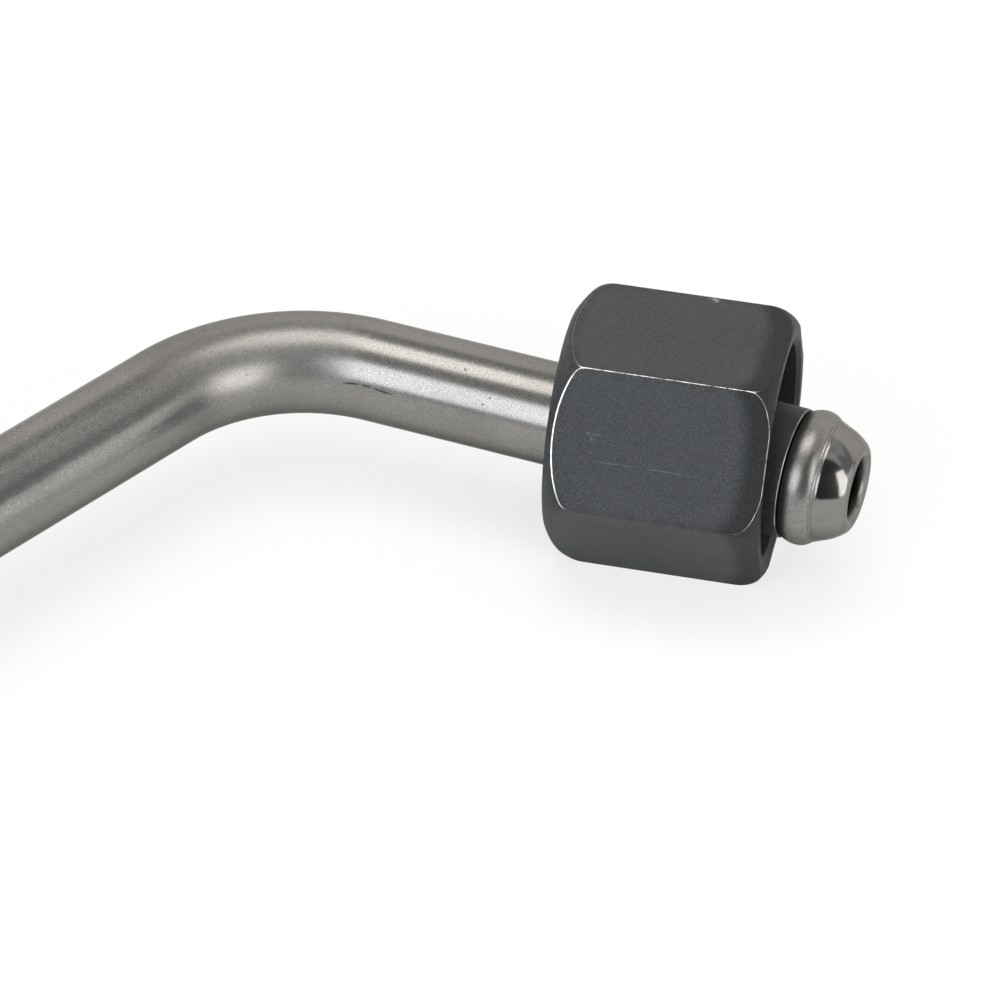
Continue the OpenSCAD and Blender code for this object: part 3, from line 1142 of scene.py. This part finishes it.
class FUELLINE_OT_nuts(bpy.types.Operator):
    """Build both union nuts and the thread inside each."""

    bl_idname = "fuelline.nuts"
    bl_label = "Union Nuts"

    def execute(self, context):
        p = context.scene.fuelline_pipe
        n = context.scene.fuelline_nut
        coat = dark_phosphate(n)
        thread = {**thread_values(n), "Material": coat}
        for end in "ab":
            matrix = nut_matrix(p, n, end)
            mesh = nut_mesh("nut_" + end, n, matrix, coat, RUBBED[end])
            face_outwards(mesh)
            nut = add_object("hexagon_nut_" + end, mesh)
            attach(nut, "nut_" + end)
            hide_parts("union_nut_" + end)
            source = add_object("thread_source", bpy.data.meshes.new("thread_source"))
            mesh = run_tree(thread_tree(), source, thread)
            mesh.transform(matrix @ Matrix.Rotation(pi / 2, 4, "Y"))
            face_outwards(mesh)
            ridge = add_object("nut_thread_" + end, mesh)
            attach(ridge, "nut_" + end)
        return {"FINISHED"}


class FUELLINE_OT_sleeves(bpy.types.Operator):
    """Turn the two thrust sleeves behind the beads."""

    bl_idname = "fuelline.sleeves"
    bl_label = "Thrust Sleeves"

    def execute(self, context):
        p = context.scene.fuelline_pipe
        s = context.scene.fuelline_sleeve
        coat = sleeve_coat(s, context.scene.fuelline_nut)
        for end in "ab":
            back = Matrix.Translation((-s.front, 0.0, 0.0)) @ Matrix.Rotation(pi, 4, "Z")
            mesh = sleeve_mesh("sleeve_" + end, s, end_matrix(p, end) @ back, coat)
            face_outwards(mesh)
            sleeve = add_object("turned_sleeve_" + end, mesh)
            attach(sleeve, "sleeve_" + end)
            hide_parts("thrust_sleeve_" + end)
        return {"FINISHED"}


class FUELLINE_OT_stage(bpy.types.Operator):
    """Set the floor, the soft lights, the dark card and the camera."""

    bl_idname = "fuelline.stage"
    bl_label = "Stage"

    def execute(self, context):
        g = context.scene.fuelline_stage
        lay_floor(g)
        even_light(context.scene, g)
        hang_lamps()
        dark_card("card", sky_way(8, 0), 13 * MM, CARD_OUTLINE, black_cloth())
        place_camera(g)
        context.scene.view_settings.view_transform = "Standard"
        return {"FINISHED"}


class FUELLINE_PT_panel(bpy.types.Panel):
    """Sidebar panel with the sizes and the building steps."""

    bl_label = "Fuel Line"
    bl_idname = "FUELLINE_PT_panel"
    bl_space_type = "VIEW_3D"
    bl_region_type = "UI"
    bl_category = "Fuel Line"

    def draw(self, context):
        for title, name, step in STEPS:
            box = self.layout.box()
            box.label(text=title)
            group = getattr(context.scene, name)
            for key in group.bl_rna.properties.keys():
                if key not in ("rna_type", "name"):
                    box.prop(group, key)
            box.operator("fuelline." + step)


STEPS = [
    ("Pipe", "fuelline_pipe", "pipe"),
    ("Union nuts", "fuelline_nut", "nuts"),
    ("Thrust sleeves", "fuelline_sleeve", "sleeves"),
    ("Stage", "fuelline_stage", "stage"),
]
GROUPS = [FUELLINE_PG_pipe, FUELLINE_PG_nut, FUELLINE_PG_sleeve, FUELLINE_PG_stage]
CLASSES = GROUPS + [
    FUELLINE_OT_pipe, FUELLINE_OT_nuts, FUELLINE_OT_sleeves, FUELLINE_OT_stage, FUELLINE_PT_panel]


def register():
    for part in CLASSES:
        bpy.utils.register_class(part)
    for (title, name, step), group in zip(STEPS, GROUPS):
        setattr(bpy.types.Scene, name, bpy.props.PointerProperty(type=group))


def unregister():
    for title, name, step in STEPS:
        delattr(bpy.types.Scene, name)
    for part in reversed(CLASSES):
        bpy.utils.unregister_class(part)


def main():
    register()
    for title, name, step in STEPS:
        getattr(bpy.ops.fuelline, step)()


if __name__ == "__main__":
    main()
